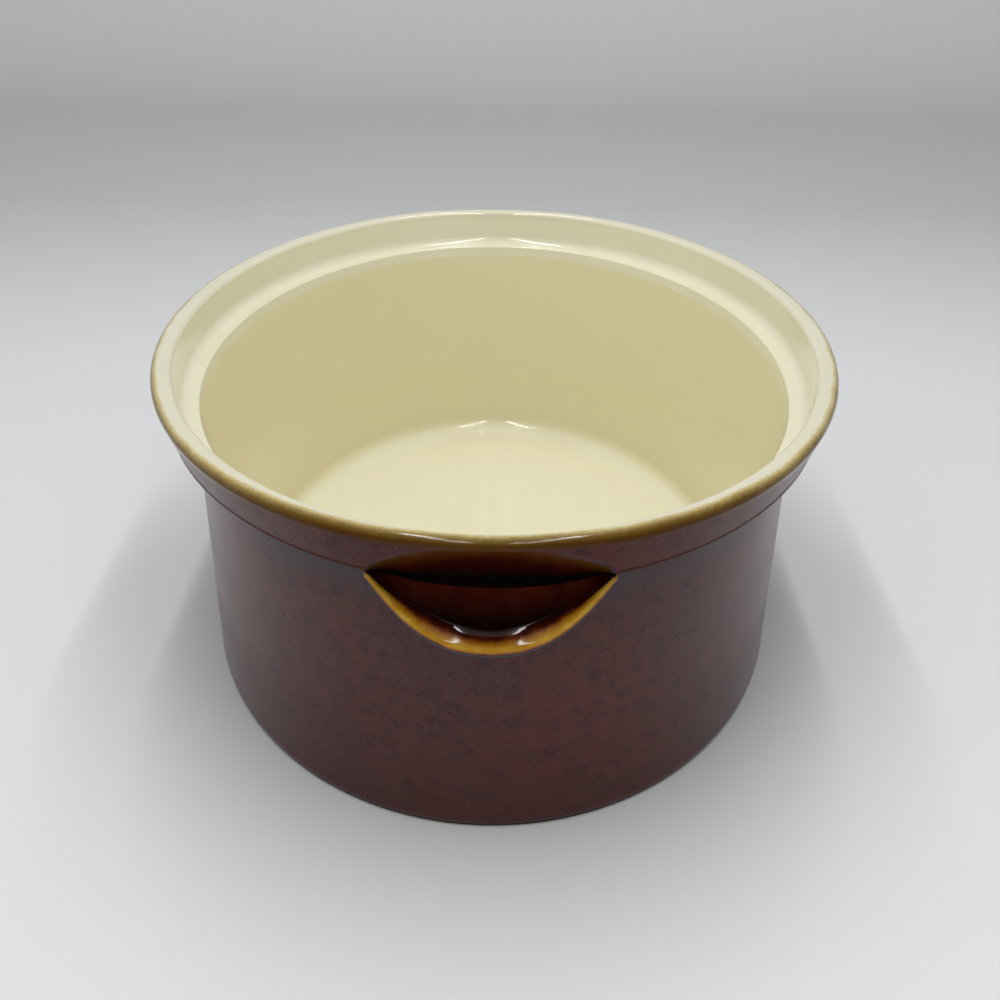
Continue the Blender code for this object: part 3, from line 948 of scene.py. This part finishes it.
def build_handle(name, node, middle_angle):
    """Pocket handle: a section carried across the mouth and faded into the wall past its corners.

    With share = 1 - (x / MOUTH_HALF_WIDTH)^2, the crease, the fold and the base of the bowl stand
    at corner height + (height - corner height) share. The lip stands at
    LIP_HEIGHT + (LIP_CORNER_HEIGHT - LIP_HEIGHT) |x / MOUTH_HALF_WIDTH|^LIP_POWER.
    Past the corners each of them moves into the wall by a smooth step, so the lug runs out under
    the collar.
    """
    beyond = MOUTH_HALF_WIDTH + LUG_BLEND * np.linspace(0.0, 1.0, LUG_BLEND_STEPS + 1)[1:]
    x = np.concatenate([-beyond[::-1], mouth_places(), beyond])
    angles = middle_angle + np.arcsin(x / (RIM_HALF_WIDTH - COLLAR_EDGE_INSET))
    share = mouth_share(angles)
    reach = np.minimum(np.abs(x) / MOUTH_HALF_WIDTH, 1.0)
    fade = rise(np.abs(x), MOUTH_HALF_WIDTH, MOUTH_HALF_WIDTH + LUG_BLEND)
    back_inset = BACK_INSET + BACK_RUN_OUT * fade
    crease_inset = CREASE_INSET + CREASE_CORNER_SHIFT * (1.0 - share) + BACK_RUN_OUT * fade
    crease = between(CREASE_CORNER_HEIGHT, CREASE_HEIGHT, share)
    fold = between(FOLD_CORNER_HEIGHT, FOLD_HEIGHT, share)
    fold_inset = crease_inset - BACK_LEAN * (crease - fold)
    base_inset = BASE_INSET + BASE_RUN_OUT * fade
    base = between(BASE_CORNER_HEIGHT, BASE_HEIGHT, share)
    lip_inset = between(LIP_CORNER_INSET, LIP_INSET, share) + LIP_RUN_OUT * fade
    lip = LIP_HEIGHT + (LIP_CORNER_HEIGHT - LIP_HEIGHT) * reach**LIP_POWER
    lip = np.minimum(lip, underside_height(lip_inset) + LIP_TUCK)
    root = np.minimum(lip, base) - ROOT_DROP - ROOT_MIDDLE_DROP * share + ROOT_RUN_OUT * fade
    buried = WALL_INSET + BURIED_DEPTH
    corners = [
        (buried, root - BURIED_DROP, BURIED_ROUND),
        (buried, BACK_HEIGHT, BURIED_ROUND),
        (back_inset, BACK_HEIGHT, BURIED_ROUND),
        (crease_inset, crease, CREASE_ROUND),
        (fold_inset, fold, FOLD_CORNER_ROUND + FOLD_ROUND_GAIN * share**3),
        (base_inset, base, BASE_CORNER_ROUND + BASE_ROUND_GAIN * share),
        (lip_inset, lip, LIP_TOP_ROUND),
        (lip_inset, lip - LIP_THICKNESS, LIP_UNDER_ROUND),
        (wall_inset(root), root, ROOT_ROUND),
    ]
    crease_corner, lip_corner = 3, 6
    section = rounded(corners)
    below = length_from(section, crease_corner)
    out = length_from(section, lip_corner)
    amber = (between(AMBER_CORNER, AMBER_MIDDLE, share) * (1.0 - fade))[:, None]
    amber_width = np.where(out < 0.0, AMBER_INNER_WIDTH, AMBER_OUTER_WIDTH)
    crease_line = CREASE_AMBER * np.exp(-((below / CREASE_AMBER_WIDTH) ** 2)) * share[:, None]
    thin = amber * np.exp(-((out / amber_width) ** 2)) + crease_line
    haze = rise(out, *LIP_HAZE_PLACES)
    # Grey-blue film on the lip's outer face: pooled glaze and a painted reflection
    under_lip_pool_and_sheen = haze * (1.0 - rise(out, *LIP_POOL_SHEEN_END_PLACES))
    # Pooled glaze in the bowl, near black past the crease: partly painted shade in the pocket
    bowl_pool_and_shade = (out < 0.0) * rise(below, *BOWL_POOL_PAST_CREASE) * rise(-out, *BOWL_POOL_BEFORE_LIP)
    # Painted shadow: above the crease, the slot under the collar is painted near black
    slot_painted_shadow = 1.0 - rise(below, *SLOT_SHADOW_END_PLACES)
    pool_and_painted_light = np.maximum(under_lip_pool_and_sheen, np.maximum(BOWL_POOL_AND_SHADE * bowl_pool_and_shade, slot_painted_shadow))
    points = oval(angles[:, None], section[..., 0], section[..., 1])
    columns = section.shape[1]
    faces = quads(len(angles), columns, False, True)[:, ::-1].tolist()
    first_end = list(range(columns))[::-1]
    last_end = list(range((len(angles) - 1) * columns, len(angles) * columns))
    new_piece(
        name, points, [*faces, first_end, last_end], [BROWN_GLAZE], node,
        {"haze": haze, "thin": thin, "pool_and_painted_light": pool_and_painted_light},
    )


# Stage, light and camera


def build_stage():
    """A pale sweep: flat floor, then a quarter round, then an upright backdrop.

    Its profile is (y, 0) along the floor, (back + bend sin t, bend - bend cos t) round the bend and
    one point at the top. Its grey changes with the depth y: a painted shadow behind the dish, and painted
    light in front and up the backdrop.
    """
    floor = np.linspace(SWEEP_FRONT, SWEEP_BACK, SWEEP_FLOOR_STEPS)
    turn = np.linspace(0.1, 0.5 * np.pi, SWEEP_BEND_STEPS)
    y = np.concatenate([floor, SWEEP_BACK + SWEEP_BEND * np.sin(turn), [SWEEP_BACK + SWEEP_BEND]])
    z = np.concatenate([np.zeros(len(floor)), SWEEP_BEND - SWEEP_BEND * np.cos(turn), [SWEEP_TOP]])
    x = np.linspace(-SWEEP_HALF_WIDTH, SWEEP_HALF_WIDTH, SWEEP_CROSS_STEPS)
    points = np.stack(np.broadcast_arrays(x[:, None], y[None, :], z[None, :]), axis=-1)
    mesh = bpy.data.meshes.new("sweep")
    mesh.from_pydata(points.reshape(-1, 3), [], quads(len(x), len(y), False, False))
    mesh.shade_smooth()
    material = bpy.data.materials.new("pale_paper")
    tree, shader = node_tree(material)
    place = add(tree, "ShaderNodeSeparateXYZ", in_0=object_position(tree))
    depth = add(
        tree, "ShaderNodeMapRange", clamp=True,
        in_0=place.outputs["Y"], in_1=PAPER_NEAR, in_2=PAPER_FAR, in_3=0.0, in_4=1.0,
    )
    shade = ramp(tree, depth.outputs[0], PAPER_PAINTED_SHADE)
    tree.links.new(shade, shader.inputs["Base Color"])
    shader.inputs["Roughness"].default_value = PAPER_ROUGHNESS
    mesh.materials.append(material)
    sweep = bpy.data.objects.new("sweep", mesh)
    bpy.context.scene.collection.objects.link(sweep)


def tube_lamp(name, x):
    """A long soft lamp over the dish at a place across it, shining straight down."""
    lamp = bpy.data.lights.new(name, "AREA")
    lamp.shape = "RECTANGLE"
    lamp.size, lamp.size_y = TUBE_SIZE
    lamp.energy = TUBE_POWER
    holder = bpy.data.objects.new(name, lamp)
    holder.location = (x, 0.0, TUBE_HEIGHT)
    holder.rotation_euler = Vector((0.0, 0.0, -1.0)).to_track_quat("-Z", "Y").to_euler()
    bpy.context.scene.collection.objects.link(holder)


def build_lights():
    """Two long tube lamps overhead and a pale surround, a little brighter on the left.

    Mirrored, the surround has a dark opening in front, where the direction's |x| is under about 0.87,
    its z under about 0.87 and its y negative.
    """
    tube_lamp("tube_left", -TUBE_ASIDE)
    tube_lamp("tube_right", TUBE_ASIDE)
    world = bpy.data.worlds.new("surround")
    world.use_nodes = True
    tree = world.node_tree
    background = tree.nodes["Background"]
    background.inputs["Color"].default_value = solid(SURROUND_COLOUR)
    direction = tree.nodes.new("ShaderNodeTexCoord").outputs["Generated"]
    way = add(tree, "ShaderNodeSeparateXYZ", in_0=direction)
    beside = span(tree, math_node(tree, "ABSOLUTE", way.outputs["X"]), *OPENING_SIDES)
    above = span(tree, way.outputs["Z"], *OPENING_TOP)
    behind = span(tree, way.outputs["Y"], *OPENING_BACK)
    pale = math_node(tree, "MAXIMUM", beside, math_node(tree, "MAXIMUM", above, behind))
    mirrored = tree.nodes.new("ShaderNodeLightPath").outputs["Is Glossy Ray"]
    opening = math_node(tree, "MULTIPLY", mirrored, math_node(tree, "SUBTRACT", 1.0, pale))
    shown = math_node(tree, "MULTIPLY_ADD", opening, OPENING_DIM, 1.0)
    level = math_node(tree, "MULTIPLY_ADD", way.outputs["X"], SURROUND_TILT, SURROUND_LEVEL)
    tree.links.new(math_node(tree, "MULTIPLY", level, shown), background.inputs["Strength"])
    bpy.context.scene.world = world


def build_camera():
    """The photograph's view: place, heading, dip and roll, with its lens."""
    heading = math.radians(CAMERA_HEADING)
    dip = math.radians(CAMERA_DIP)
    roll = math.radians(CAMERA_ROLL)
    ahead = math.cos(dip)
    forward = Vector((math.sin(heading) * ahead, math.cos(heading) * ahead, -math.sin(dip)))
    level = Vector((math.cos(heading), -math.sin(heading), 0.0))
    down = forward.cross(level)
    right = math.cos(roll) * level + math.sin(roll) * down
    below = math.cos(roll) * down - math.sin(roll) * level
    turn = Matrix((right, -below, -forward)).transposed().to_4x4()
    lens = bpy.data.cameras.new("camera")
    lens.sensor_width = CAMERA_FRAME
    lens.lens = CAMERA_LENS
    lens.clip_start = 0.01
    camera = bpy.data.objects.new("camera", lens)
    camera.matrix_world = Matrix.Translation(CAMERA_PLACE) @ turn
    bpy.context.scene.collection.objects.link(camera)
    bpy.context.scene.camera = camera


CREAM_LOOK = cream_look_group()
BROWN_LOOK = brown_look_group()
CLAY_LOOK = clay_look_group()
CREAM_GLAZE = cream_material()
BROWN_GLAZE = brown_material()
RIM_GLAZE = rim_material()
BARE_CLAY = clay_material()

round_angles = ring_angles()
build_collar(round_angles)
build_wall(round_angles)
build_floor(round_angles)
build_foot(round_angles)
build_handle("front_pocket_handle_glazed", "front_pocket_handle", 1.5 * math.pi)
build_handle("back_pocket_handle_glazed", "back_pocket_handle", 0.5 * math.pi)
build_stage()
build_lights()
build_camera()
bpy.context.scene.view_settings.view_transform = "Standard"
